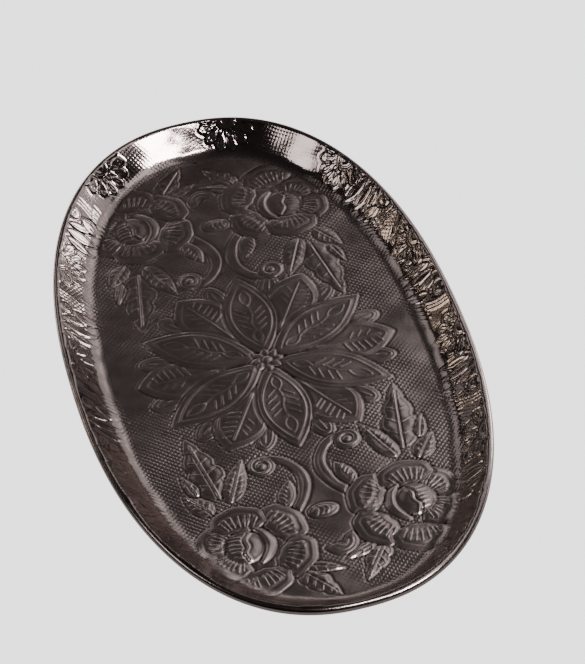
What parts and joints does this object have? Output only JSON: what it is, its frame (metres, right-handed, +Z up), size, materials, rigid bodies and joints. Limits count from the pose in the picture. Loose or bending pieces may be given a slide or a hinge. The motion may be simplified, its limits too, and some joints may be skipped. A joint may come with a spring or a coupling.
{
  "type": "oval serving tray",
  "caption": "Shallow oval serving tray of embossed dark sheet metal with a flared wall and a wired, rolled rim, for carrying and serving food or drinks.",
  "frame": {"origin": "on the plane that the tray stands on, under the middle of the base", "axes": "+Z up out of the tray, Y along its length, X across its width"},
  "size_m": [0.2298, 0.4298, 0.0165],
  "materials": {
    "pan_metal": "dark nickel plate over embossed sheet, satin on the base and brighter on the wall and rim",
    "wire_steel": "drawn steel wire, bare"
  },
  "bodies": {
    "root": {"tray_pan": "pan_metal", "rim_wire": "wire_steel"}
  },
  "joints": []
}
